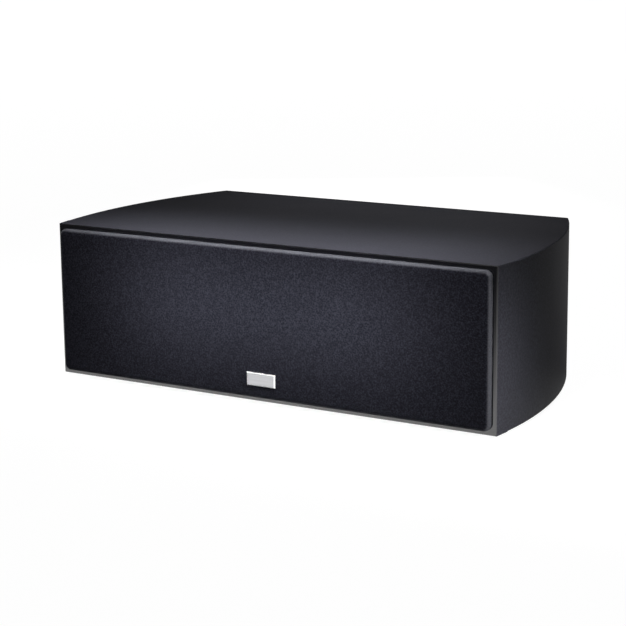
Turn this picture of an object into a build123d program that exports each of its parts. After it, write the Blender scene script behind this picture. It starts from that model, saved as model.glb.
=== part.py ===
import math
import os

from build123d import *

os.makedirs("parts", exist_ok=True)

# Cabinet, in millimetres: the front faces -Y and the feet stand on Z = 0
front_width = 450
rear_width = 384
cabinet_height = 145
cabinet_depth = 242
side_bow = 19
panel_thickness = 15
baffle_thickness = 18
edge_bevel = 0.8
glue_gap = 0.2
foot_height = 3
foot_radius = 10
foot_inset = 32

# Grille
grille_margin = 4
grille_proud = 5.5
grille_corner = 6
grille_edge_radius = 3.5
cloth_thickness = 0.6
frame_border = 12
rib_width = 12
peg_radius = 3
peg_length = 9
cup_clearance = 0.3
cup_wall = 1.6
badge_width = 29.5
badge_height = 12.3
badge_thickness = 1.4
badge_bevel = 1
badge_rise = 21.8

# Woofers
driver_setback = 1.6
woofer_spacing = 270
woofer_flange_radius = 60
woofer_flange = 5
surround_seat_radius = 53
surround_seat_depth = 3.4
basket_radius = 51
basket_wall = 2
basket_window = 44
basket_depth = 36
basket_cup_radius = 36
spider_ledge_depth = 28
surround_thickness = 0.8
roll_width = 9
roll_height = 3.6
cone_radius = 41.5
cone_rim = 3
cone_depth = 16
cone_thickness = 0.9
coil_radius = 12.5
coil_wall = 1.2
coil_length = 24
coil_gap = 0.4
dust_cap_radius = 21
dust_cap_height = 3
plate_radius = 36
plate_thickness = 5
magnet_radius = 40
magnet_bore = 18
magnet_thickness = 16

# Tweeter
tweeter_radius = 48
tweeter_flange = 4
tweeter_hub_radius = 37
tweeter_hub_depth = 7
dish_radius = 30
dish_depth = 3
throat_radius = 15.5
dome_radius = 12.7
dome_height = 3
dome_flange = 0.6
tweeter_motor_radius = 32
tweeter_motor_depth = 18

# Back: binding posts in a recessed cup, and the reflex port
terminal_offset = 58
cup_setback = 1.2
cup_flange_width = 84
cup_flange_height = 64
cup_flange = 2
cup_width = 66
cup_height = 46
cup_depth = 20
cup_corner = 6
cup_wall_thickness = 2
post_spacing = 26
post_radius = 3.2
socket_radius = 2
socket_depth = 12
collar_radius = 6
collar_height = 3
washer_height = 1.2
knob_radius = 7
knob_length = 10.5
knob_clearance = 0.3
stem_reach = 1
post_tail = 8
nut_size = 5.5
nut_height = 4
port_offset = -58
port_radius = 21
port_wall = 2
port_length = 110
port_mouth_radius = 25.5
port_flange_radius = 30
port_flange = 2
port_flare = 9

# Crossover on the floor of the cabinet
board_width = 120
board_depth = 80
board_thickness = 1.6
board_spacer = 8
board_rise = 6
choke_radius = 20
choke_height = 16
small_choke_radius = 14
small_choke_height = 12
choke_bore_share = 0.42
capacitor_size = (30, 12, 20)
resistor_size = (26, 10, 9)

# Places worked out from the sizes
front_reach = grille_proud + badge_thickness
front_y = (front_reach - cabinet_depth) / 2
rear_y = front_y + cabinet_depth
baffle_rear_y = front_y + baffle_thickness
low_z = foot_height
high_z = foot_height + cabinet_height
mid_z = (low_z + high_z) / 2
floor_z = low_z + panel_thickness
inner_height = cabinet_height - 2 * panel_thickness
woofer_places = (-woofer_spacing / 2, woofer_spacing / 2)
grille_width = front_width - 2 * grille_margin
grille_height = cabinet_height - 2 * grille_margin
frame_width = grille_width - 2 * cloth_thickness
frame_height = grille_height - 2 * cloth_thickness
frame_thickness = grille_proud - cloth_thickness
peg_x = frame_width / 2 - frame_border / 2
peg_z = frame_height / 2 - frame_border / 2
peg_places = [(x, z) for x in (-peg_x, peg_x) for z in (-peg_z, peg_z)]
cup_bore = peg_radius + cup_clearance
grille_cup_radius = cup_bore + cup_wall
grille_cup_depth = peg_length + cup_clearance
port_neck_radius = port_mouth_radius + port_wall
rib_x = (tweeter_radius + woofer_spacing / 2 - woofer_flange_radius) / 2

# Bowed sides: one arc through the front and rear corners, its centre on the far side
chord_x = (rear_width - front_width) / 2
chord = math.hypot(chord_x, cabinet_depth)
bow_radius = (chord**2 / 4 + side_bow**2) / (2 * side_bow)
bow_drop = (bow_radius - side_bow) / chord
bow_centre_x = (front_width + rear_width) / 4 - bow_drop * cabinet_depth
bow_centre_y = (front_y + rear_y) / 2 + bow_drop * chord_x

front_plane = Plane((0, front_y, mid_z), x_dir=(1, 0, 0), z_dir=(0, -1, 0))
rear_plane = Plane((0, rear_y, mid_z), x_dir=(-1, 0, 0), z_dir=(0, 1, 0))

# Drivers and terminal cup lie a little behind the face, so that screw heads stay flush
driver_plane = front_plane.offset(-driver_setback)
cup_plane = rear_plane.offset(-cup_setback)


def half_width(y, inset=0):
    """Half the cabinet's width at depth y, inside a wall of the given inset."""
    return bow_centre_x + math.sqrt((bow_radius - inset) ** 2 - (y - bow_centre_y) ** 2)


def side_arc(start_y, end_y, inset=0):
    """The right side's bowed line from start_y to end_y, inside the current BuildLine."""
    middle_y = (start_y + end_y) / 2
    return ThreePointArc(*[(half_width(y, inset), y) for y in (start_y, middle_y, end_y)])


def plan_slab(start_y, end_y, start_z, height, inset=0):
    """A slab of the cabinet's plan between two depths, its ends following the bowed sides."""
    with BuildPart() as slab:
        with BuildSketch(Plane.XY.offset(start_z)):
            with BuildLine():
                arc = side_arc(start_y, end_y, inset)
                Line(arc @ 0, (0, start_y))
                Line(arc @ 1, (0, end_y))
                mirror(about=Plane.YZ)
            make_face()
        extrude(amount=height)
    return slab.part


def turned(points, places, plane):
    """One solid of revolution at each place, from points of radius and depth behind the plane's face."""
    with BuildPart() as pieces:
        for place in places:
            centre = plane.from_local_coords(Vector(*place))
            inward = plane.z_dir * -1
            profile_plane = Plane(centre, x_dir=(1, 0, 0), z_dir=Vector(1, 0, 0).cross(inward))
            with BuildSketch(profile_plane):
                with BuildLine():
                    Polyline(*points, close=True)
                make_face()
            revolve(axis=Axis(centre, inward))
    return pieces.part


def ring(inner, outer, start, end):
    """Points of a plain ring, for turned."""
    return [(inner, start), (outer, start), (outer, end), (inner, end)]


def save(part, name):
    part.label = name
    export_step(part, f"parts/{name}.step")


woofer_centres = [(x, 0) for x in woofer_places]
tweeter_centre = [(0, 0)]

# Front baffle, with rebates for the drivers and holes for the grille's cups
with BuildPart() as front_baffle:
    add(plan_slab(front_y, baffle_rear_y, low_z, cabinet_height))
    chamfer(front_baffle.faces().sort_by(Axis.Y)[0].edges(), edge_bevel)
    with BuildSketch(front_plane):
        with Locations(*woofer_centres):
            Circle(woofer_flange_radius + glue_gap)
    extrude(amount=-driver_setback - woofer_flange, mode=Mode.SUBTRACT)
    with BuildSketch(front_plane):
        Circle(tweeter_radius + glue_gap)
    extrude(amount=-driver_setback - tweeter_flange, mode=Mode.SUBTRACT)
    with BuildSketch(front_plane):
        with Locations(*woofer_centres):
            Circle(basket_radius + glue_gap)
        Circle(tweeter_hub_radius + glue_gap)
    extrude(amount=-baffle_thickness, mode=Mode.SUBTRACT)
    with BuildSketch(front_plane):
        with Locations(*peg_places):
            Circle(grille_cup_radius)
    extrude(amount=-grille_cup_depth, mode=Mode.SUBTRACT)
save(front_baffle.part, "front_baffle")

# Top and bottom panels run over the sides and the back
with BuildPart() as top_panel:
    add(plan_slab(baffle_rear_y, rear_y, high_z - panel_thickness, panel_thickness))
    upper_edges = top_panel.faces().sort_by(Axis.Z)[-1].edges()
    chamfer(upper_edges.sort_by(Axis.Y)[1:], edge_bevel)
save(top_panel.part, "top_panel")

with BuildPart() as bottom_panel:
    add(plan_slab(baffle_rear_y, rear_y, low_z, panel_thickness))
    lower_edges = bottom_panel.faces().sort_by(Axis.Z)[0].edges()
    chamfer(lower_edges.sort_by(Axis.Y)[1:], edge_bevel)
save(bottom_panel.part, "bottom_panel")

# Bowed side panels, glued between top and bottom
with BuildPart() as right_side_panel:
    with BuildSketch(Plane.XY.offset(floor_z)):
        with BuildLine():
            outer = side_arc(baffle_rear_y, rear_y)
            inner = side_arc(baffle_rear_y, rear_y, panel_thickness)
            Line(outer @ 0, inner @ 0)
            Line(outer @ 1, inner @ 1)
        make_face()
    extrude(amount=inner_height)
save(right_side_panel.part, "right_side_panel")

with BuildPart() as left_side_panel:
    mirror(right_side_panel.part, about=Plane.YZ)
save(left_side_panel.part, "left_side_panel")

# Rear panel, set in between the sides, with openings for the terminal cup and the port
with BuildPart() as rear_panel:
    add(plan_slab(rear_y - panel_thickness, rear_y, floor_z, inner_height, panel_thickness + glue_gap))
    with BuildSketch(rear_plane):
        with Locations((-terminal_offset, 0)):
            RectangleRounded(cup_flange_width, cup_flange_height, cup_corner)
    extrude(amount=-cup_setback - cup_flange, mode=Mode.SUBTRACT)
    with BuildSketch(rear_plane):
        with Locations((-port_offset, 0)):
            Circle(port_flange_radius + glue_gap)
    extrude(amount=-port_flange, mode=Mode.SUBTRACT)
    with BuildSketch(rear_plane):
        with Locations((-terminal_offset, 0)):
            cup_outside = 2 * (cup_wall_thickness + glue_gap)
            RectangleRounded(cup_width + cup_outside, cup_height + cup_outside, cup_corner)
        with Locations((-port_offset, 0)):
            Circle(port_neck_radius + glue_gap)
    extrude(amount=-panel_thickness, mode=Mode.SUBTRACT)
save(rear_panel.part, "rear_panel")

# Rubber feet, glued under the corners
front_foot_y = front_y + foot_inset
rear_foot_y = rear_y - foot_inset
with BuildPart() as rubber_feet:
    with BuildSketch(Plane.XY.offset(low_z)):
        for y in (front_foot_y, rear_foot_y):
            foot_x = half_width(y) - foot_inset
            with Locations((-foot_x, y), (foot_x, y)):
                Circle(foot_radius)
    extrude(amount=-foot_height)
save(rubber_feet.part, "rubber_feet")

# Woofer baskets: flange, windowed tub with a ledge for the spider, and a cup on the top plate
tub_bore = basket_radius - basket_wall
spider_bore = basket_cup_radius - basket_wall
basket_profile = [
    (surround_seat_radius, 0),
    (woofer_flange_radius, 0),
    (woofer_flange_radius, woofer_flange),
    (basket_radius, woofer_flange),
    (basket_radius, spider_ledge_depth + basket_wall),
    (basket_cup_radius, spider_ledge_depth + basket_wall),
    (basket_cup_radius, basket_depth),
    (magnet_bore, basket_depth),
    (magnet_bore, basket_depth - basket_wall),
    (spider_bore, basket_depth - basket_wall),
    (spider_bore, spider_ledge_depth),
    (tub_bore, spider_ledge_depth),
    (tub_bore, surround_seat_depth),
    (surround_seat_radius, surround_seat_depth),
]
window_start = 2 * woofer_flange
window_end = spider_ledge_depth - basket_wall
with BuildPart() as woofer_baskets:
    add(turned(basket_profile, woofer_centres, driver_plane))
    with BuildSketch(driver_plane.offset(-window_start)):
        with Locations(*woofer_centres):
            Rectangle(2 * woofer_flange_radius, basket_window)
            Rectangle(basket_window, 2 * woofer_flange_radius)
    extrude(amount=window_start - window_end, mode=Mode.SUBTRACT)
save(woofer_baskets.part, "woofer_baskets")

# Rubber surrounds: an outer lip on the basket, a raised roll and an inner lip on the cone
lip_top = surround_seat_depth - surround_thickness
inner_lip = cone_radius - cone_rim
outer_lip = surround_seat_radius - glue_gap
roll_end = cone_radius + roll_width
crown_top = lip_top - roll_height
surround_profile = [
    (inner_lip, lip_top),
    (cone_radius, lip_top),
    (cone_radius, crown_top),
    (roll_end, crown_top),
    (roll_end, lip_top),
    (outer_lip, lip_top),
    (outer_lip, surround_seat_depth),
    (inner_lip, surround_seat_depth),
]
save(turned(surround_profile, woofer_centres, driver_plane), "woofer_surrounds")

# Moving pieces of each woofer: paper cone with a flat web, dust cap and voice coil
coil_outside = coil_radius + coil_wall
web_depth = surround_seat_depth + cone_depth
cone_profile = [
    (inner_lip, surround_seat_depth),
    (cone_radius, surround_seat_depth),
    (cone_radius, surround_seat_depth + cone_thickness),
    (inner_lip, surround_seat_depth + cone_thickness),
    (dust_cap_radius, web_depth + cone_thickness),
    (coil_outside, web_depth + cone_thickness),
    (coil_outside, web_depth),
    (dust_cap_radius, web_depth),
]
cap_top = web_depth - dust_cap_height
cap_bore = dust_cap_radius - cone_thickness
dust_cap_profile = [
    (0, cap_top),
    (dust_cap_radius, cap_top),
    (dust_cap_radius, web_depth),
    (cap_bore, web_depth),
    (cap_bore, cap_top + cone_thickness),
    (0, cap_top + cone_thickness),
]
voice_coil_profile = ring(coil_radius, coil_outside, web_depth, web_depth + coil_length)
for side, centre in zip(("left", "right"), woofer_centres):
    save(turned(cone_profile, [centre], driver_plane), f"{side}_woofer_cone")
    save(turned(dust_cap_profile, [centre], driver_plane), f"{side}_dust_cap")
    save(turned(voice_coil_profile, [centre], driver_plane), f"{side}_voice_coil")

# Spiders: a cloth ring between the coil and the basket's ledge
spider_top = spider_ledge_depth - surround_thickness
spider_profile = ring(coil_outside, tub_bore - glue_gap, spider_top, spider_ledge_depth)
save(turned(spider_profile, woofer_centres, driver_plane), "woofer_spiders")

# Motors: top plate, ferrite ring, and yoke with its pole
magnet_start = basket_depth + plate_thickness
yoke_start = magnet_start + magnet_thickness
pole_radius = coil_radius - coil_gap
top_plate_profile = ring(coil_outside + coil_gap, plate_radius, basket_depth, magnet_start)
magnet_profile = ring(magnet_bore, magnet_radius, magnet_start, yoke_start)
yoke_profile = [
    (0, basket_depth),
    (pole_radius, basket_depth),
    (pole_radius, yoke_start),
    (plate_radius, yoke_start),
    (plate_radius, yoke_start + plate_thickness),
    (0, yoke_start + plate_thickness),
]
save(turned(top_plate_profile, woofer_centres, driver_plane), "woofer_top_plates")
save(turned(magnet_profile, woofer_centres, driver_plane), "woofer_magnets")
save(turned(yoke_profile, woofer_centres, driver_plane), "woofer_yokes")

# Tweeter: faceplate with a shallow dish, soft dome and motor
faceplate_profile = [
    (dish_radius, 0),
    (tweeter_radius, 0),
    (tweeter_radius, tweeter_flange),
    (tweeter_hub_radius, tweeter_flange),
    (tweeter_hub_radius, tweeter_hub_depth),
    (throat_radius, tweeter_hub_depth),
    (throat_radius, dish_depth),
    (dish_radius, dish_depth),
]
save(turned(faceplate_profile, tweeter_centre, driver_plane), "tweeter_faceplate")

dome_flange_top = tweeter_hub_depth - dome_flange
dome_profile = [
    (0, dome_flange_top - dome_height),
    (dome_radius, dome_flange_top - dome_height),
    (dome_radius, dome_flange_top),
    (throat_radius - glue_gap, dome_flange_top),
    (throat_radius - glue_gap, tweeter_hub_depth),
    (0, tweeter_hub_depth),
]
save(turned(dome_profile, tweeter_centre, driver_plane), "tweeter_dome")

tweeter_motor_end = tweeter_hub_depth + tweeter_motor_depth
tweeter_motor_profile = ring(0, tweeter_motor_radius, tweeter_hub_depth, tweeter_motor_end)
save(turned(tweeter_motor_profile, tweeter_centre, driver_plane), "tweeter_motor")


# Grille: a frame welded from end bars, rails and ribs, cloth stretched over its face, and the plate
frame_corner = grille_corner - cloth_thickness
frame_edge_radius = grille_edge_radius - cloth_thickness
with BuildPart() as frame_blank:
    with BuildSketch(front_plane):
        RectangleRounded(frame_width, frame_height, frame_corner)
    extrude(amount=frame_thickness)
    fillet(frame_blank.faces().sort_by(Axis.Y)[0].edges(), frame_edge_radius)

window_width = frame_width - 2 * frame_border
window_height = frame_height - 2 * frame_border
with BuildPart() as grille_end_bars:
    add(frame_blank.part)
    with BuildSketch(front_plane):
        Rectangle(window_width, frame_height)
    extrude(amount=frame_thickness, mode=Mode.SUBTRACT)
    with BuildSketch(front_plane):
        with Locations(*peg_places):
            Circle(peg_radius)
    extrude(amount=-peg_length)
save(grille_end_bars.part, "grille_end_bars")

with BuildPart() as grille_rails:
    add(frame_blank.part)
    with BuildSketch(front_plane):
        Rectangle(frame_width, window_height)
    extrude(amount=frame_thickness, mode=Mode.SUBTRACT)
    with BuildSketch(front_plane):
        Rectangle(window_width, frame_height)
    extrude(amount=frame_thickness, mode=Mode.INTERSECT)
save(grille_rails.part, "grille_rails")

with BuildPart() as grille_ribs:
    with BuildSketch(front_plane):
        with Locations((-rib_x, 0), (rib_x, 0)):
            Rectangle(rib_width, window_height)
    extrude(amount=frame_thickness)
save(grille_ribs.part, "grille_ribs")

cloth_width = frame_width - 2 * frame_edge_radius
cloth_height = frame_height - 2 * frame_edge_radius
with BuildPart() as grille_cloth:
    with BuildSketch(front_plane.offset(frame_thickness)):
        RectangleRounded(cloth_width, cloth_height, frame_corner - frame_edge_radius)
    extrude(amount=cloth_thickness)
save(grille_cloth.part, "grille_cloth")

badge_z = badge_rise - cabinet_height / 2
with BuildPart() as badge_plate:
    with BuildSketch(front_plane.offset(grille_proud)):
        with Locations((0, badge_z)):
            Rectangle(badge_width, badge_height)
    extrude(amount=badge_thickness)
    chamfer(badge_plate.faces().sort_by(Axis.Y)[0].edges(), badge_bevel)
save(badge_plate.part, "badge_plate")

save(turned(ring(cup_bore, grille_cup_radius, 0, grille_cup_depth), peg_places, front_plane), "grille_cups")

# Terminal cup: a moulded tray screwed into the back
with BuildPart() as terminal_cup:
    with BuildSketch(cup_plane):
        with Locations((-terminal_offset, 0)):
            RectangleRounded(cup_flange_width, cup_flange_height, cup_corner)
    extrude(amount=-cup_flange)
    with BuildSketch(cup_plane):
        with Locations((-terminal_offset, 0)):
            RectangleRounded(cup_width + 2 * cup_wall_thickness, cup_height + 2 * cup_wall_thickness, cup_corner)
    extrude(amount=-cup_depth - cup_wall_thickness)
    with BuildSketch(cup_plane):
        with Locations((-terminal_offset, 0)):
            RectangleRounded(cup_width, cup_height, cup_corner - cup_wall_thickness)
    extrude(amount=-cup_depth, mode=Mode.SUBTRACT)
    with BuildSketch(cup_plane):
        with Locations((-terminal_offset - post_spacing / 2, 0), (-terminal_offset + post_spacing / 2, 0)):
            Circle(post_radius)
    extrude(amount=-cup_depth - cup_wall_thickness, mode=Mode.SUBTRACT)
save(terminal_cup.part, "terminal_cup")

# Binding posts: threaded stem with a banana socket, clamp washer, knob and nut inside
collar_top = cup_depth - collar_height
knob_start = collar_top - washer_height
knob_end = knob_start - knob_length
stem_end = knob_end - stem_reach
tail_end = cup_depth + cup_wall_thickness + post_tail
knob_bore = post_radius + knob_clearance
post_profile = [
    (socket_radius, stem_end),
    (post_radius, stem_end),
    (post_radius, collar_top),
    (collar_radius, collar_top),
    (collar_radius, cup_depth),
    (post_radius, cup_depth),
    (post_radius, tail_end),
    (0, tail_end),
    (0, stem_end + socket_depth),
    (socket_radius, stem_end + socket_depth),
]
knob_profile = ring(knob_bore, knob_radius, knob_end, knob_start)
washer_profile = ring(knob_bore, collar_radius, knob_start, collar_top)
post_places = [(-terminal_offset - post_spacing / 2, 0), (-terminal_offset + post_spacing / 2, 0)]
for colour, place in zip(("red", "black"), post_places):
    save(turned(post_profile, [place], cup_plane), f"{colour}_post")
    save(turned(washer_profile, [place], cup_plane), f"{colour}_washer")
    save(turned(knob_profile, [place], cup_plane), f"{colour}_knob")

with BuildPart() as post_nuts:
    with BuildSketch(cup_plane.offset(-cup_depth - cup_wall_thickness)):
        with Locations(*post_places):
            RegularPolygon(nut_size, 6)
            Circle(post_radius, mode=Mode.SUBTRACT)
    extrude(amount=-nut_height)
save(post_nuts.part, "post_nuts")

# Reflex port: a flanged tube with a flared mouth
port_outside = port_radius + port_wall
neck_end = port_flare + port_wall
port_profile = [
    (port_mouth_radius, 0),
    (port_flange_radius, 0),
    (port_flange_radius, port_flange),
    (port_neck_radius, port_flange),
    (port_neck_radius, neck_end),
    (port_outside, neck_end),
    (port_outside, port_length),
    (port_radius, port_length),
    (port_radius, port_flare),
]
save(turned(port_profile, [(-port_offset, 0)], rear_plane), "port_tube")

# Crossover: board on spacers, two chokes, two capacitors and a resistor
board_y = (front_y + rear_y) / 2
board_z = floor_z + board_rise
board_top = Plane.XY.offset(board_z + board_thickness)
with BuildPart() as crossover_board:
    with BuildSketch(Plane.XY.offset(board_z)):
        with Locations((0, board_y)):
            Rectangle(board_width, board_depth)
    extrude(amount=board_thickness)
save(crossover_board.part, "crossover_board")

with BuildPart() as board_spacers:
    with BuildSketch(Plane.XY.offset(floor_z)):
        with Locations((0, board_y)):
            with GridLocations(board_width - board_spacer, board_depth - board_spacer, 2, 2):
                Rectangle(board_spacer, board_spacer)
    extrude(amount=board_rise)
save(board_spacers.part, "board_spacers")

choke_y = board_y - board_depth / 2 + choke_radius
choke_x = board_width / 2 - choke_radius
for name, x, radius, height in (
    ("woofer_choke", -choke_x, choke_radius, choke_height),
    ("tweeter_choke", choke_x, small_choke_radius, small_choke_height),
):
    with BuildPart() as choke:
        with BuildSketch(board_top):
            with Locations((x, choke_y)):
                Circle(radius)
                Circle(radius * choke_bore_share, mode=Mode.SUBTRACT)
        extrude(amount=height)
    save(choke.part, name)

part_row_y = board_y + board_depth / 4
with BuildPart() as capacitors:
    with BuildSketch(board_top):
        with Locations((-choke_x, part_row_y), (0, part_row_y)):
            Rectangle(*capacitor_size[:2])
    extrude(amount=capacitor_size[2])
save(capacitors.part, "capacitors")

with BuildPart() as resistor:
    with BuildSketch(board_top):
        with Locations((choke_x, part_row_y)):
            Rectangle(*resistor_size[:2])
    extrude(amount=resistor_size[2])
save(resistor.part, "resistor")
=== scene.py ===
import math
import bmesh
import bpy
from mathutils import Matrix, Vector


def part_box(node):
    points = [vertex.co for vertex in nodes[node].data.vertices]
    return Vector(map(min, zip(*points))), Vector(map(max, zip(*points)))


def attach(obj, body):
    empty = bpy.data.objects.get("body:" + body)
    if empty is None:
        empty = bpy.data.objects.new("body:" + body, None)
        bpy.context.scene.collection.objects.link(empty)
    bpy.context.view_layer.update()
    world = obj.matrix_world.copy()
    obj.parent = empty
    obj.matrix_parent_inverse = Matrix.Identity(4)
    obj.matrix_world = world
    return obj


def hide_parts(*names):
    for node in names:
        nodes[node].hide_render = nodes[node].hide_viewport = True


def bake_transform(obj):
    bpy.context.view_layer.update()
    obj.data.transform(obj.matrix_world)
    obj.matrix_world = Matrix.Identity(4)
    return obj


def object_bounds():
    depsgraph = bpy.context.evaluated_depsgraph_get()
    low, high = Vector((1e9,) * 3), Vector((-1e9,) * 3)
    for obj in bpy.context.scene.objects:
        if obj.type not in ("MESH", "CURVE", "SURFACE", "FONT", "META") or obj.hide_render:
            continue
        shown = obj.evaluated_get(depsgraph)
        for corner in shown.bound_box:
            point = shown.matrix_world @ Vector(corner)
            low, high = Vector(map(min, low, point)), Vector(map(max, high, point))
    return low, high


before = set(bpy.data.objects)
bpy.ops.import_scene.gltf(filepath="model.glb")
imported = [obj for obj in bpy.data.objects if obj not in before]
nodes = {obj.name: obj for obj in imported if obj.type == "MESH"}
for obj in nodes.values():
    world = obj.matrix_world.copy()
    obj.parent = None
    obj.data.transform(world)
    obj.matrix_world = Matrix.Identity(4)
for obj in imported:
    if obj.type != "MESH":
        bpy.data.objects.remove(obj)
cad_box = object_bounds()


# The cabinet is MDF, glued up from bowed sides, top, bottom and back.
# All of it is wrapped in black foil with a fine satin grain.
class Link:
    """An output in a node tree: sums on it add Math nodes, and node() adds any other node to its tree."""

    def __init__(self, tree, socket=None):
        self.tree = tree
        self.socket = socket

    def node(self, kind, settings, inputs, output=0):
        """Adds a node of this kind, sets it up, fills its sockets and hands back one of its outputs."""
        made = self.tree.nodes.new(kind)
        for name, value in settings.items():
            if name == "stops":
                elements = made.color_ramp.elements
                while len(elements) < len(value):
                    elements.new(1)
                for stop, (position, colour) in zip(elements, value):
                    stop.position = position
                    stop.color = (*colour, 1)
            else:
                setattr(made, name, value)
        for name, value in inputs.items():
            for each in value if isinstance(value, list) else [value]:
                if isinstance(each, Link):
                    self.tree.links.new(each.socket, made.inputs[name])
                else:
                    made.inputs[name].default_value = each
        return Link(self.tree, made.outputs[output]) if made.outputs else None

    def math(self, operation, first, second):
        return self.node("ShaderNodeMath", {"operation": operation}, {0: first, 1: second})

    def __add__(self, other):
        return self.math("ADD", self, other)

    __radd__ = __add__

    def __sub__(self, other):
        return self.math("SUBTRACT", self, other)

    def __rsub__(self, other):
        return self.math("SUBTRACT", other, self)

    def __mul__(self, other):
        return self.math("MULTIPLY", self, other)

    __rmul__ = __mul__

    def __gt__(self, other):
        return self.math("GREATER_THAN", self, other)

    def __lt__(self, other):
        return self.math("LESS_THAN", self, other)


def place_on(name):
    """Starts a finish: a material with nothing in it yet, and the place on the piece to build it from."""
    finish = bpy.data.materials.new(name)
    finish.use_nodes = True
    finish.node_tree.nodes.clear()
    return finish, Link(finish.node_tree).node("ShaderNodeTexCoord", {}, {}, "Object")


def noise(place, size, detail=3.0):
    """Soft random spots of about this size in metres."""
    return place.node("ShaderNodeTexNoise", {}, {"Vector": place, "Scale": 1 / size, "Detail": detail})


def bump(place, height, depth):
    """A relief of this depth in metres where the height goes from 0 to 1."""
    return place.node("ShaderNodeBump", {}, {"Height": height, "Distance": depth, "Strength": 1.0})


def ramp(place, value, *shades):
    """A colour that follows a value through these shades, each with its place between 0 and 1."""
    return place.node("ShaderNodeValToRGB", {"stops": shades}, {"Fac": value})


def surface(place, inputs):
    """Closes a finish with a Principled surface."""
    shader = place.node("ShaderNodeBsdfPrincipled", {}, inputs)
    place.node("ShaderNodeOutputMaterial", {}, {"Surface": shader})


def dress(finish, *names):
    """Puts a finish on nodes of the part."""
    for name in names:
        nodes[name].data.materials.clear()
        nodes[name].data.materials.append(finish)


foil_shades = ((0.35, (0.025, 0.025, 0.0315)), (0.75, (0.050, 0.050, 0.0625)))
foil_grain = 0.0018
foil_cloud = 0.06
foil_roughness = 0.40
foil_grain_dulling = 0.10
foil_cloud_dulling = 0.08
foil_gloss = 0.05
foil_relief = 0.00007


def foil_look(place):
    """What the foil gives a surface at this place: its colour, gloss and relief."""
    spots = noise(place, foil_grain)
    clouds = noise(place, foil_cloud)
    return {
        "Base Color": ramp(place, spots, *foil_shades),
        "Roughness": foil_roughness + foil_grain_dulling * spots + foil_cloud_dulling * clouds,
        "Specular IOR Level": foil_gloss,
        "Normal": bump(place, spots, foil_relief),
    }


foil, on_foil = place_on("black_foil")
surface(on_foil, foil_look(on_foil))
dress(foil, "top_panel", "bottom_panel", "left_side_panel", "right_side_panel", "rear_panel")


# The baffle is a thick MDF panel that carries the drivers and the grille's sockets.
# Its face is lacquered black, and its edges are wrapped in the cabinet's foil.
def depth_on(place):
    """How far back a place is."""
    return place.node("ShaderNodeSeparateXYZ", {}, {"Vector": place}, "Y")


def mixed(share, first, second):
    """The first colour where the share is 0, and the second where it is 1."""
    return share.node("ShaderNodeMix", {"data_type": "RGBA"}, {0: share, 6: first, 7: second}, 2)


baffle_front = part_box("front_baffle")[0].y
baffle_edge = 0.0009
lacquer_shades = ((0.3, (0.0022, 0.0022, 0.0036)), (0.8, (0.0042, 0.0042, 0.0068)))
lacquer_grain = 0.0016
lacquer_roughness = 0.08
lacquer_refraction = 2.0
baffle, on_baffle = place_on("lacquered_baffle")
is_edge = depth_on(on_baffle) > baffle_front + baffle_edge
lacquer_colour = ramp(on_baffle, noise(on_baffle, lacquer_grain), *lacquer_shades)
edge_look = foil_look(on_baffle)
surface(on_baffle, {
    **edge_look,
    "Base Color": mixed(is_edge, lacquer_colour, edge_look["Base Color"]),
    "Coat Weight": 1 - is_edge,
    "Coat Roughness": lacquer_roughness,
    "Coat IOR": lacquer_refraction,
})
dress(baffle, "front_baffle")


# Four soft rubber discs under the corners keep the speaker from sliding.
# They are moulded, matt, and glued on.
grain_start = 0.3
grain_end = 0.75
grain_dulling = 0.15


def grainy(name, dark, light, grain, roughness, relief, metallic=0.0, specular=0.5):
    """A plain finish with a fine random grain in its colour, gloss and relief."""
    finish, place = place_on(name)
    spots = noise(place, grain)
    surface(place, {
        "Base Color": ramp(place, spots, (grain_start, dark), (grain_end, light)),
        "Roughness": roughness + grain_dulling * spots,
        "Metallic": metallic,
        "Specular IOR Level": specular,
        "Normal": bump(place, spots, relief),
    })
    return finish


rubber = grainy(
    "soft_rubber", dark=(0.010, 0.010, 0.010), light=(0.022, 0.022, 0.022),
    grain=0.0012, roughness=0.6, relief=0.00005, specular=0.3,
)
dress(rubber, "rubber_feet")


# Each woofer stands on a pressed steel basket, stove enamelled black.
# Its motor is a ferrite ring between two zinc plated steel plates.
basket_paint = grainy(
    "basket_enamel", dark=(0.010, 0.010, 0.010), light=(0.020, 0.020, 0.020),
    grain=0.0009, roughness=0.4, relief=0.00004,
)
ferrite = grainy(
    "grey_ferrite", dark=(0.045, 0.045, 0.048), light=(0.085, 0.085, 0.085),
    grain=0.0007, roughness=0.65, relief=0.00006,
)
steel = grainy(
    "zinc_plate", dark=(0.42, 0.42, 0.40), light=(0.62, 0.62, 0.60),
    grain=0.0030, roughness=0.28, relief=0.00002, metallic=1.0,
)
dress(basket_paint, "woofer_baskets")
dress(ferrite, "woofer_magnets", "tweeter_motor")
dress(steel, "woofer_top_plates", "woofer_yokes", "post_nuts")


# The cone is pressed from black pulp, with fibres in its face, and a copper coil hangs on its neck.
# A domed cap of the same pulp closes the neck and keeps dust out of the motor.
full_turn = 2 * math.pi
weld_distance = 1e-6
crease_angle = math.radians(40)


def piece_from(name, shape):
    """Merges a shape's doubles, turns its faces outwards, smooths it and puts it in the scene."""
    bmesh.ops.remove_doubles(shape, verts=shape.verts, dist=weld_distance)
    bmesh.ops.recalc_face_normals(shape, faces=shape.faces)
    for face in shape.faces:
        face.smooth = True
    mesh = bpy.data.meshes.new(name)
    shape.to_mesh(mesh)
    shape.free()
    made = bpy.data.objects.new(name, mesh)
    bpy.context.scene.collection.objects.link(made)
    return made


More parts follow.
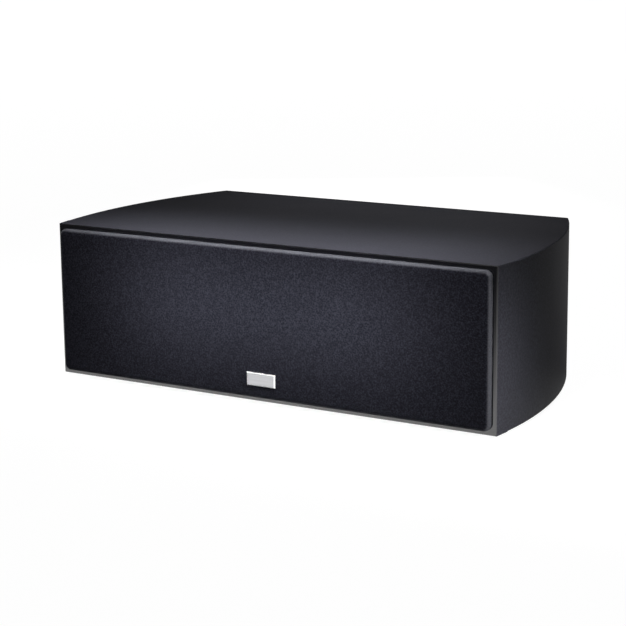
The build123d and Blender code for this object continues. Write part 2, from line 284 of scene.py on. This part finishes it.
def turned(name, outline, centre, start=0.0, sweep=full_turn, steps=96):
    """A piece turned about a driver's axis, from a closed outline of radius and depth behind the centre."""
    shape = bmesh.new()
    whole = math.isclose(sweep, full_turn)
    rows = []
    for step in range(steps if whole else steps + 1):
        angle = start + sweep * step / steps
        across, up = math.cos(angle), math.sin(angle)
        rows.append([shape.verts.new(centre + Vector((r * across, d, r * up))) for r, d in outline])
    pairs = zip(rows, rows[1:] + rows[:1]) if whole else zip(rows, rows[1:])
    for here, there in pairs:
        for i in range(len(outline)):
            j = (i + 1) % len(outline)
            shape.faces.new((here[i], here[j], there[j], there[i]))
    if not whole:
        shape.faces.new(rows[0])
        shape.faces.new(rows[-1])
    made = piece_from(name, shape)
    made.data.set_sharp_from_angle(angle=crease_angle)
    return made


def arch(start, end, rise, steps=14):
    """Half an ellipse from one (radius, depth) to the other, standing up by the rise."""
    made = []
    for step in range(steps + 1):
        turn = math.pi * step / steps
        share = (1 - math.cos(turn)) / 2
        radius = start[0] + (end[0] - start[0]) * share
        made.append((radius, start[1] + (end[1] - start[1]) * share - rise * math.sin(turn)))
    return made


def dome_line(radius, depth, rise, steps):
    """The line over a dome, from its rim at this radius and depth up to its middle."""
    return arch((radius, depth), (-radius, depth), rise, steps)[:steps // 2 + 1]


def on_axis(node, depth):
    """The point at this depth on the axis of a round piece."""
    low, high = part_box(node)
    return Vector(((low.x + high.x) / 2, depth, (low.z + high.z) / 2))


pulp_shades = ((0.3, (0.014, 0.014, 0.014)), (0.8, (0.045, 0.044, 0.043)))
pulp_grain = 0.0008
pulp_roughness = 0.55
pulp_dulling = 0.2
pulp_relief = 0.00012
fibres_per_metre = 420.0
fibre_relief_share = 0.5
pulp, on_pulp = place_on("black_pulp")
pulp_spots = noise(on_pulp, pulp_grain)
pulp_fibres = on_pulp.node(
    "ShaderNodeTexVoronoi", {"feature": "DISTANCE_TO_EDGE"}, {"Vector": on_pulp, "Scale": fibres_per_metre}
)
surface(on_pulp, {
    "Base Color": ramp(on_pulp, pulp_spots, *pulp_shades),
    "Roughness": pulp_roughness + pulp_dulling * pulp_spots,
    "Normal": bump(on_pulp, pulp_spots - fibre_relief_share * pulp_fibres, pulp_relief),
})
copper = grainy(
    "enamelled_copper", dark=(0.42, 0.16, 0.07), light=(0.72, 0.33, 0.16),
    grain=0.0010, roughness=0.28, relief=0.00004, metallic=1.0,
)
cap_rise = 0.003
cap_wall = 0.0009
cap_steps = 24
for side in ("left", "right"):
    dress(pulp, f"{side}_woofer_cone")
    dress(copper, f"{side}_voice_coil")
    cap_low, cap_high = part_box(f"{side}_dust_cap")
    cap_radius = (cap_high.x - cap_low.x) / 2
    outside = dome_line(cap_radius, 0, cap_rise, cap_steps)
    inside = dome_line(cap_radius - cap_wall, 0, cap_rise - cap_wall, cap_steps)
    cap_centre = on_axis(f"{side}_dust_cap", cap_high.y)
    cap = turned(f"{side}_domed_cap", outside + inside[::-1], cap_centre)
    cap.data.materials.append(pulp)
    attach(cap, f"{side}_cone")
    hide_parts(f"{side}_dust_cap")


# A half round roll of rubber joins the cone's rim to the basket and flexes with the stroke.
# It is laid out in narrow sectors, each its own piece turned about the driver's axis.
def reach_of(node):
    """From the axis of a round piece to its rim."""
    low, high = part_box(node)
    return (high.z - low.z) / 2


surround_sectors = 12
sector_steps = 10
surround_wall = 0.0008
surround_low, surround_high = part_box("woofer_surrounds")
surround_reach = reach_of("woofer_surrounds")
lip_depth = surround_high.y - surround_wall
roll_rise = lip_depth - surround_low.y
roll_width = 0.009
cone_rim = reach_of("left_woofer_cone")
cone_rim_width = 0.003
roll_outside = cone_rim + roll_width
outline = [(cone_rim - cone_rim_width, 0)]
outline += arch((cone_rim, 0), (roll_outside, 0), roll_rise)
outline += [(surround_reach, 0), (surround_reach, surround_wall)]
under_start = (cone_rim + surround_wall, surround_wall)
under_end = (roll_outside - surround_wall, surround_wall)
outline += arch(under_start, under_end, roll_rise)[::-1]
outline += [(cone_rim - cone_rim_width, surround_wall)]
sector_sweep = full_turn / surround_sectors
for side in ("left", "right"):
    roll_centre = on_axis(f"{side}_woofer_cone", lip_depth)
    for sector in range(surround_sectors):
        turn = sector_sweep * sector
        sector_name = f"{side}_surround_{sector + 1:02d}"
        roll = turned(sector_name, outline, roll_centre, turn, sector_sweep, sector_steps)
        roll.data.materials.append(rubber)
        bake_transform(roll)
        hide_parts("woofer_surrounds")


# The spider is a disc of resin treated cloth, pressed in waves, that centres the coil in its gap.
# It is glued to a ledge in the basket.
spider_cloth = grainy(
    "resin_cloth", dark=(0.30, 0.17, 0.06), light=(0.55, 0.36, 0.15),
    grain=0.0006, roughness=0.7, relief=0.0001,
)
spider_waves = 4
spider_wave = 0.0012
spider_steps = 12 * spider_waves
spider_wall = 0.0006
spider_ledge = 0.0335
spider_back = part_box("woofer_spiders")[1].y
spider_reach = reach_of("woofer_spiders")
coil_reach = reach_of("left_voice_coil")
waved = []
for step in range(spider_steps + 1):
    share = step / spider_steps
    depth = -spider_wave * (1 - math.cos(full_turn * spider_waves * share)) / 2
    waved.append((coil_reach + (spider_ledge - coil_reach) * share, depth - spider_wall))
waved.append((spider_reach, -spider_wall))
waved_under = [(radius, depth + spider_wall) for radius, depth in waved[::-1]]
for side in ("left", "right"):
    spider_centre = on_axis(f"{side}_voice_coil", spider_back)
    spider = turned(f"{side}_spider", waved + waved_under, spider_centre)
    spider.data.materials.append(spider_cloth)
    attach(spider, "cabinet")
    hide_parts("woofer_spiders")


# The tweeter is a coated silk dome in a moulded faceplate, with its motor behind.
# The dome's edge is glued into the throat.
moulded = grainy(
    "moulded_plastic", dark=(0.011, 0.011, 0.011), light=(0.024, 0.024, 0.024),
    grain=0.0008, roughness=0.45, relief=0.00005,
)
dress(moulded, "tweeter_faceplate")
silk = grainy(
    "coated_silk", dark=(0.012, 0.012, 0.014), light=(0.030, 0.030, 0.034),
    grain=0.0004, roughness=0.45, relief=0.00003,
)
dome_low, dome_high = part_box("tweeter_dome")
dome_centre = Vector((0, dome_high.y, (dome_low.z + dome_high.z) / 2))
dome_flange = reach_of("tweeter_dome")
dome_radius = 0.0127
dome_wall = 0.0006
dome_steps = 28
dome_rise = dome_high.y - dome_low.y - dome_wall
dome_face = dome_line(dome_radius, -dome_wall, dome_rise, dome_steps)
dome_outline = [(dome_flange, 0), (dome_flange, -dome_wall)] + dome_face + [(0, 0)]
dome = turned("silk_dome", dome_outline, dome_centre)
dome.data.materials.append(silk)
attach(dome, "cabinet")
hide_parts("tweeter_dome")


# Black pan head screws hold the drivers and, at the back, the terminal cup.
# Their heads are stamped with a cross, and lie just below the face of the baffle or the back.
head_segments = 24
head_rings = 12
cross_lift = 0.85


def tree_of(name, inputs):
    """A tree from geometry to geometry with these inputs and a finish: the tree, and a link to each."""
    tree = bpy.data.node_groups.new(name, "GeometryNodeTree")
    for label, kind in {"Geometry": "Geometry", **inputs, "Finish": "Material"}.items():
        tree.interface.new_socket(label, in_out="INPUT", socket_type=f"NodeSocket{kind}")
    tree.interface.new_socket("Geometry", in_out="OUTPUT", socket_type="NodeSocketGeometry")
    entry = tree.nodes.new("NodeGroupInput")
    return tree, {socket.name: Link(tree, socket) for socket in entry.outputs if socket.name}


def close_tree(geometry, finish):
    """Ends a tree: makes its instances real, gives them the finish and hands them out."""
    real = geometry.node("GeometryNodeRealizeInstances", {}, {"Geometry": geometry})
    painted = geometry.node("GeometryNodeSetMaterial", {}, {"Geometry": real, "Material": finish})
    geometry.node("NodeGroupOutput", {}, {"Geometry": painted})


def screws_tree():
    """Domed heads with a cross stamped in, one at each point of the geometry that comes in."""
    tree, given = tree_of("pan_head_screws", {
        "Head Radius": "Float", "Head Height": "Float", "Cross Width": "Float", "Facing": "Rotation",
    })
    radius = given["Head Radius"]
    height = given["Head Height"]
    width = given["Cross Width"]
    ball = radius.node(
        "GeometryNodeMeshUVSphere", {}, {"Segments": head_segments, "Rings": head_rings, "Radius": 1.0}
    )
    flatten = radius.node("ShaderNodeCombineXYZ", {}, {"X": radius, "Y": height, "Z": radius})
    head = radius.node("GeometryNodeTransform", {}, {"Geometry": ball, "Scale": flatten})
    arms = []
    for x, z in ((radius, width), (width, radius)):
        size = radius.node("ShaderNodeCombineXYZ", {}, {"X": x, "Y": height, "Z": z})
        arms.append(radius.node("GeometryNodeMeshCube", {}, {"Size": size}))
    lift = radius.node("ShaderNodeCombineXYZ", {}, {"X": 0.0, "Y": height * -cross_lift, "Z": 0.0})
    cross = radius.node("GeometryNodeMeshBoolean", {"operation": "UNION", "solver": "EXACT"}, {1: arms})
    raised = radius.node("GeometryNodeTransform", {}, {"Geometry": cross, "Translation": lift})
    stamped = radius.node(
        "GeometryNodeMeshBoolean", {"operation": "DIFFERENCE", "solver": "EXACT"}, {0: head, 1: raised}
    )
    placed = radius.node("GeometryNodeInstanceOnPoints", {}, {
        "Points": given["Geometry"], "Instance": stamped, "Rotation": given["Facing"],
    })
    close_tree(placed, given["Finish"])
    return tree


def grown(name, mesh, tree, settings):
    """Runs a tree on a mesh with these settings and hands back the result as a plain piece."""
    seed = bpy.data.objects.new(name, mesh)
    bpy.context.scene.collection.objects.link(seed)
    modifier = seed.modifiers.new("grow", "NODES")
    modifier.node_group = tree
    for socket in tree.interface.items_tree:
        if socket.in_out == "INPUT" and socket.name in settings:
            modifier[socket.identifier] = settings[socket.name]
    evaluated = seed.evaluated_get(bpy.context.evaluated_depsgraph_get())
    plain = bpy.data.meshes.new_from_object(evaluated)
    seed.modifiers.remove(modifier)
    seed.data = plain
    return seed


def points_mesh(name, points):
    """A mesh of loose points for a tree to grow pieces on."""
    made = bpy.data.meshes.new(name)
    made.from_pydata(points, [], [])
    return made


screw_black = grainy(
    "black_oxide", dark=(0.012, 0.012, 0.012), light=(0.028, 0.028, 0.028),
    grain=0.0006, roughness=0.35, relief=0.00002, metallic=0.6,
)
screw_tree = screws_tree()
woofer_screw_circle = 0.0565
tweeter_screw_circle = 0.0425
driver_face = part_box("woofer_baskets")[0].y
driver_places = []
for name, circle in (
    ("left_woofer_cone", woofer_screw_circle),
    ("right_woofer_cone", woofer_screw_circle),
    ("tweeter_dome", tweeter_screw_circle),
):
    low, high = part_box(name)
    reach = circle / math.sqrt(2)
    for across in (-reach, reach):
        for up in (-reach, reach):
            driver_places.append(((low.x + high.x) / 2 + across, driver_face, (low.z + high.z) / 2 + up))
driver_screws = grown("driver_screws", points_mesh("driver_screws", driver_places), screw_tree, {
    "Head Radius": 0.0034, "Head Height": 0.0015, "Cross Width": 0.0009, "Finish": screw_black,
})
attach(driver_screws, "cabinet")


# The grille is a frame welded from plastic bars, with four pegs that push into sockets in the baffle.
# Black acoustic cloth is stretched over its rounded edges and glued behind; on those edges its lighter
# colour is a painted highlight.
dress(moulded, "grille_end_bars", "grille_rails", "grille_ribs", "grille_cups")
cloth_wall = 0.0006
cloth_fill = 0.8
cloth_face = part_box("grille_cloth")[0].y
ends_low, ends_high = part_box("grille_end_bars")
cloth_low = Vector((ends_low.x - cloth_wall, cloth_face, ends_low.z - cloth_wall))
cloth_high = Vector((ends_high.x + cloth_wall, baffle_front, ends_high.z + cloth_wall))
cloth_middle = (cloth_low + cloth_high) / 2
cloth_hem = cloth_high.y - cloth_wall / 4
cloth_corner = 0.006
cloth_least_corner = 0.0015
cloth_edge = 0.0035
corner_steps = 8
edge_steps = 8
face_insets = (0.006, 0.012, 0.024, 0.048)


def rounded_loop(inset, depth):
    """Points of the cloth's rounded rectangle, this far in from its outline."""
    half_x = (cloth_high.x - cloth_low.x) / 2 - inset
    half_z = (cloth_high.z - cloth_low.z) / 2 - inset
    radius = max(cloth_corner - inset, cloth_least_corner)
    loop = []
    for quarter, (x, z) in enumerate(((1, 1), (-1, 1), (-1, -1), (1, -1))):
        for step in range(corner_steps + 1):
            turn = math.pi / 2 * (quarter + step / corner_steps)
            across = x * (half_x - radius) + radius * math.cos(turn)
            up = z * (half_z - radius) + radius * math.sin(turn)
            loop.append(Vector((cloth_middle.x + across, depth, cloth_middle.z + up)))
    return loop


cloth_shape = bmesh.new()
edge_points = [(0.0, cloth_hem)]
for step in range(edge_steps + 1):
    turn = math.pi / 2 * step / edge_steps
    inset = cloth_edge * (1 - math.cos(turn))
    edge_points.append((inset, cloth_low.y + cloth_edge * (1 - math.sin(turn))))
edge_points += [(inset, cloth_low.y) for inset in face_insets]
cloth_rows = [[cloth_shape.verts.new(point) for point in rounded_loop(*edge)] for edge in edge_points]
for outer, inner in zip(cloth_rows, cloth_rows[1:]):
    for here in range(len(outer)):
        there = (here + 1) % len(outer)
        cloth_shape.faces.new((outer[here], outer[there], inner[there], inner[here]))
cloth_shape.faces.new(cloth_rows[-1])
cloth = piece_from("stretched_cloth", cloth_shape)
cloth_body = cloth.modifiers.new("cloth_body", "SOLIDIFY")
cloth_body.thickness = cloth_wall * cloth_fill
cloth_body.offset = -1
thread = 0.0006
thread_waves = 0.314
thread_wobble = 1.2
speckle = 0.0013
speckle_detail = 2.0
thread_in_colour = 0.12
thread_in_relief = 0.6
cloth_shades = (
    (0.32, (0.0090, 0.0090, 0.0122)), (0.48, (0.0146, 0.0149, 0.0202)), (0.66, (0.0246, 0.0250, 0.0334)),
)
# The cloth's rounded edge is coloured lighter than its face: a painted highlight for the light that edge
# catches.
edge_highlight_shades = ((0.3, (0.056, 0.057, 0.066)), (0.7, (0.080, 0.081, 0.092)))
highlight_start = 0.00005
highlight_end = 0.0008
cloth_roughness = 0.75
cloth_dulling = 0.2
cloth_relief = 0.00014
weave, on_cloth = place_on("acoustic_cloth")
warp, weft = [
    on_cloth.node("ShaderNodeTexWave", {"bands_direction": direction}, {
        "Vector": on_cloth, "Scale": thread_waves / thread, "Distortion": thread_wobble,
        "Detail": 1.0, "Detail Scale": 2.0,
    })
    for direction in ("X", "Z")
]
fuzz = noise(on_cloth, speckle, speckle_detail)
threads = warp * weft
# Painted highlight: a mask over the cloth's rounded edge, where the lighter edge colour goes.
painted_highlight_mask = on_cloth.node("ShaderNodeMapRange", {}, {
    "Value": depth_on(on_cloth), "From Min": cloth_face + highlight_start, "From Max": cloth_face + highlight_end,
})
face_tone = threads * thread_in_colour + fuzz * (1 - thread_in_colour)
cloth_colour = ramp(on_cloth, face_tone, *cloth_shades)
edge_highlight_colour = ramp(on_cloth, fuzz, *edge_highlight_shades)
cloth_height = threads * thread_in_relief + fuzz * (1 - thread_in_relief)
surface(on_cloth, {
    "Base Color": mixed(painted_highlight_mask, cloth_colour, edge_highlight_colour),
    "Roughness": cloth_roughness + cloth_dulling * fuzz,
    "Specular IOR Level": 0.0,
    "Normal": bump(on_cloth, cloth_height, cloth_relief),
})
cloth.data.materials.append(weave)
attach(cloth, "grille")
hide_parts("grille_cloth")


# A small silver plate sits low in the middle of the grille, pinned through the cloth.
# Its face is finely brushed and its bevels are polished bright.
badge_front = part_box("badge_plate")[0].y
badge_face_depth = 0.00003
brushed_shades = ((0.25, (0.48, 0.48, 0.497)), (0.75, (0.62, 0.62, 0.641)))
polished_silver = (0.92, 0.92, 0.93, 1)
brush_lines = (60.0, 60.0, 9000.0)
brush_detail = 2.0
brush_relief = 0.00001
badge_roughness = 0.34
badge_dulling = 0.1
bevel_polish = 0.12
badge_metal = 0.75
badge, on_badge = place_on("brushed_silver")
is_bevel = depth_on(on_badge) > badge_front + badge_face_depth
brushed = on_badge.node("ShaderNodeMapping", {}, {"Vector": on_badge, "Scale": brush_lines})
brushing = on_badge.node(
    "ShaderNodeTexNoise", {}, {"Vector": brushed, "Scale": 1.0, "Detail": brush_detail}
)
surface(on_badge, {
    "Base Color": mixed(is_bevel, ramp(on_badge, brushing, *brushed_shades), polished_silver),
    "Roughness": badge_roughness + badge_dulling * brushing - is_bevel * bevel_polish,
    "Metallic": badge_metal,
    "Normal": bump(on_badge, brushing, brush_relief),
})
dress(badge, "badge_plate")


# The back carries a flared reflex port and a moulded cup for the binding posts.
# The cup is held by four small screws.
dress(moulded, "port_tube", "terminal_cup")
cup_low, cup_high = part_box("terminal_cup")
cup_screw_inset = 0.0045
cup_places = []
for across in (cup_low.x + cup_screw_inset, cup_high.x - cup_screw_inset):
    for up in (cup_low.z + cup_screw_inset, cup_high.z - cup_screw_inset):
        cup_places.append((across, cup_high.y, up))
cup_screws = grown("cup_screws", points_mesh("cup_screws", cup_places), screw_tree, {
    "Head Radius": 0.0026, "Head Height": 0.0011, "Cross Width": 0.0007, "Finish": screw_black,
    "Facing": (0.0, 0.0, math.pi),
})
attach(cup_screws, "cabinet")


# Each binding post is a gold plated stem with a plug socket, a clamp washer and a ribbed plastic knob.
# Turning the knob back lets the washer slide out and frees the bare wire.
gold = grainy(
    "gold_plate", dark=(0.62, 0.42, 0.14), light=(0.83, 0.62, 0.27),
    grain=0.0012, roughness=0.22, relief=0.00001, metallic=1.0,
)
dress(gold, "red_post", "black_post", "red_washer", "black_washer")
rib_sides = 10


def ribs_tree():
    """Half round ribs along a knob's grip, added to the body that comes in."""
    tree, given = tree_of("knob_ribs", {
        "Rib Count": "Int", "Circle Radius": "Float", "Rib Radius": "Float", "Rib Length": "Float",
        "Centre": "Vector",
    })
    body = given["Geometry"]
    circle = body.node(
        "GeometryNodeMeshCircle", {}, {"Vertices": given["Rib Count"], "Radius": given["Circle Radius"]}
    )
    rib = body.node("GeometryNodeMeshCylinder", {}, {
        "Vertices": rib_sides, "Radius": given["Rib Radius"], "Depth": given["Rib Length"],
    })
    ribs = body.node("GeometryNodeInstanceOnPoints", {}, {"Points": circle, "Instance": rib})
    turned_ribs = body.node("GeometryNodeTransform", {}, {
        "Geometry": ribs, "Translation": given["Centre"], "Rotation": (math.pi / 2, 0, 0),
    })
    joined = body.node("GeometryNodeJoinGeometry", {}, {"Geometry": [body, turned_ribs]})
    close_tree(joined, given["Finish"])
    return tree


knob_plastic = {
    "red": grainy(
        "red_plastic", dark=(0.36, 0.006, 0.006), light=(0.50, 0.014, 0.012),
        grain=0.0010, roughness=0.25, relief=0.00002,
    ),
    "black": grainy(
        "black_plastic", dark=(0.010, 0.010, 0.010), light=(0.020, 0.020, 0.020),
        grain=0.0010, roughness=0.25, relief=0.00002,
    ),
}
rib_tree = ribs_tree()
rib_count = 24
rib_radius = 0.00045
knob_steps = 48
knob_bore = 0.0035
knob_round = 0.0012
knob_cut = 0.3 * knob_round
for colour, plastic in knob_plastic.items():
    low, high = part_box(f"{colour}_knob")
    knob_centre = (low + high) / 2
    grip = (high.x - low.x) / 2 - rib_radius
    half = (high.y - low.y) / 2
    rib_half = half - knob_round
    knob_outline = [
        (knob_bore, -half), (grip - knob_round, -half), (grip - knob_cut, knob_cut - half),
        (grip, -rib_half), (grip, rib_half),
        (grip - knob_cut, half - knob_cut), (grip - knob_round, half), (knob_bore, half),
    ]
    body = turned(f"{colour}_knob_body", knob_outline, knob_centre, steps=knob_steps)
    knob = grown(f"{colour}_ribbed_knob", body.data, rib_tree, {
        "Rib Count": rib_count, "Circle Radius": grip, "Rib Radius": rib_radius, "Rib Length": 2 * rib_half,
        "Centre": knob_centre, "Finish": plastic,
    })
    bpy.data.objects.remove(body)
    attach(knob, f"{colour}_knob")
    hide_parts(f"{colour}_knob")


# The crossover lies on the cabinet's floor: a laminate board on spacers.
# It carries two air cored copper chokes, film capacitors and a ceramic resistor.
laminate = grainy(
    "paper_laminate", dark=(0.22, 0.14, 0.055), light=(0.36, 0.25, 0.11),
    grain=0.0020, roughness=0.5, relief=0.00003,
)
film_case = grainy(
    "film_case", dark=(0.020, 0.030, 0.110), light=(0.040, 0.055, 0.190),
    grain=0.0020, roughness=0.25, relief=0.00002,
)
ceramic = grainy(
    "white_ceramic", dark=(0.62, 0.61, 0.57), light=(0.78, 0.77, 0.73),
    grain=0.0010, roughness=0.6, relief=0.00005,
)
dress(laminate, "crossover_board")
dress(moulded, "board_spacers")
dress(film_case, "capacitors")
dress(ceramic, "resistor")
dress(copper, "woofer_choke", "tweeter_choke")


# The studio is a wide floor that the eye sees white, and that still takes the speaker's shadow.
# In reflections it is white near the speaker and darker further off, as on a lit table.
# Narrow lamps pick out the front, its upper edge and the right corner; others light the far sides.
floor_reach = 16.0
floor_segments = 64
floor_matt = (0.2, 0.2, 0.2, 1)
floor_near, floor_far = 0.8, 4.0
near_white, far_white = 0.965, 1.0
mirror_span = 0.8
mirror_levels = (
    (-0.70, 0.01), (-0.50, 0.15), (-0.39, 0.42), (-0.20, 1.0), (-0.05, 1.0), (0.13, 0.20), (0.44, 0.36),
)
white = (1, 1, 1, 1)
white_floor, on_floor = place_on("white_floor")
to_eye, to_gloss, through_glass = [
    on_floor.node("ShaderNodeLightPath", {}, {}, f"Is {ray} Ray")
    for ray in ("Camera", "Glossy", "Transmission")
]
away = on_floor.node("ShaderNodeVectorMath", {"operation": "LENGTH"}, {0: on_floor}, "Value")
across_floor = on_floor.node("ShaderNodeMapRange", {}, {
    "Value": depth_on(on_floor), "From Min": -mirror_span, "From Max": mirror_span,
})
mirrored = ramp(on_floor, across_floor, *[
    ((depth + mirror_span) / (2 * mirror_span), (level, level, level)) for depth, level in mirror_levels
])
shown = on_floor.math("MAXIMUM", on_floor.math("MAXIMUM", to_eye, to_gloss * mirrored), through_glass)
whiteness = on_floor.node("ShaderNodeMapRange", {}, {
    "Value": away, "From Min": floor_near, "From Max": floor_far, "To Min": near_white, "To Max": far_white,
})
matt = on_floor.node("ShaderNodeBsdfDiffuse", {}, {"Color": floor_matt})
glow = on_floor.node("ShaderNodeEmission", {}, {"Color": white, "Strength": shown * whiteness})
both = on_floor.node("ShaderNodeAddShader", {}, {0: matt, 1: glow})
on_floor.node("ShaderNodeOutputMaterial", {}, {"Surface": both})
floor_shape = bmesh.new()
bmesh.ops.create_circle(floor_shape, cap_ends=True, segments=floor_segments, radius=floor_reach)
floor_data = bpy.data.meshes.new("studio_floor")
floor_shape.to_mesh(floor_data)
floor_shape.free()
floor = bpy.data.objects.new("studio_floor", floor_data)
floor_data.materials.append(white_floor)
bpy.context.scene.collection.objects.link(floor)


def softbox(name, place, aim, size, power, beam=180, in_gloss=True):
    """A lamp of this width and height in metres, power in watts and beam in degrees."""
    lamp = bpy.data.lights.new(name, "AREA")
    lamp.shape = "RECTANGLE"
    lamp.size, lamp.size_y = size
    lamp.energy = power
    lamp.spread = math.radians(beam)
    made = bpy.data.objects.new(name, lamp)
    made.location = place
    made.rotation_euler = (Vector(aim) - Vector(place)).to_track_quat("-Z", "Y").to_euler()
    made.visible_camera = False
    made.visible_glossy = in_gloss
    bpy.context.scene.collection.objects.link(made)


cabinet_middle = (cad_box[0] + cad_box[1]) / 2
softbox(
    "front_softbox", (0.02, -0.85, 0.115), (0.005, -0.12, 0.089),
    size=(0.28, 0.02), power=0.135, beam=13, in_gloss=False,
)
softbox("edge_softbox", (0.02, -0.35, 0.75), (0.01, -0.135, 0.148), size=(0.42, 0.06), power=0.56, beam=25)
softbox(
    "corner_softbox", (1.45, -0.35, 0.22), (0.235, -0.18, 0.045),
    size=(0.08, 0.08), power=0.145, beam=13,
)
softbox("right_softbox", (1.5, -0.55, 0.35), (0.23, -0.09, 0.04), size=(0.3, 0.3), power=0.006, beam=18)
softbox("left_softbox", (-1.5, 0.05, 0.12), (-0.22, 0.0, 0.075), size=(0.3, 0.12), power=0.6, beam=40)
softbox("back_softbox", (-0.6, 1.2, 0.08), (0.0, 0.12, 0.075), size=(0.5, 0.1), power=1.4, beam=60)
softbox("rear_softbox", (0.05, 0.30, 0.45), (0.02, 0.08, 0.148), size=(0.4, 0.1), power=0.08, beam=40)
softbox("rim_softbox", (-0.28, 0.48, 0.40), (0.02, -0.12, 0.148), size=(0.5, 0.26), power=0.005, beam=50)
softbox("top_softbox", (0.0, 0.0, 2.0), cabinet_middle, size=(1.4, 1.0), power=2)
world = bpy.data.worlds.new("studio_air")
world.use_nodes = True
world.node_tree.nodes.clear()
air = Link(world.node_tree)
air_light = 0.075
air_seen = [air.node("ShaderNodeLightPath", {}, {}, f"Is {ray} Ray") for ray in ("Camera", "Transmission")]
air_glow = air_light + (1 - air_light) * air.math("MAXIMUM", *air_seen)
white_air = air.node("ShaderNodeBackground", {}, {"Color": white, "Strength": air_glow})
air.node("ShaderNodeOutputWorld", {}, {"Surface": white_air})
bpy.context.scene.world = world


# The camera stands to the right of the speaker and above it, with a long lens.
# A small shift of the lens lets it tilt down less, so that upright edges lean less.
camera_place = Vector((0.7629, -1.3603, 0.4217))
camera_heading = math.radians(29.79)
camera_pitch = math.radians(10.9)
camera_roll = math.radians(-0.58)
camera_lens = 96.83
camera_sensor = 36
camera_shift = -0.1
camera_sight = 100
looking = Vector((
    -math.sin(camera_heading) * math.cos(camera_pitch),
    math.cos(camera_heading) * math.cos(camera_pitch),
    -math.sin(camera_pitch),
))
level_right = Vector((math.cos(camera_heading), math.sin(camera_heading), 0))
level_up = level_right.cross(looking)
camera_right = level_right * math.cos(camera_roll) + level_up * math.sin(camera_roll)
camera_up = level_up * math.cos(camera_roll) - level_right * math.sin(camera_roll)
camera_data = bpy.data.cameras.new("camera")
camera_data.lens = camera_lens
camera_data.sensor_width = camera_sensor
camera_data.shift_y = camera_shift
camera_data.clip_end = camera_sight
camera = bpy.data.objects.new("camera", camera_data)
camera_turn = Matrix((camera_right, camera_up, -looking)).transposed()
camera.matrix_world = Matrix.Translation(camera_place) @ camera_turn.to_4x4()
bpy.context.scene.collection.objects.link(camera)
bpy.context.scene.camera = camera
bpy.context.scene.view_settings.view_transform = "Standard"
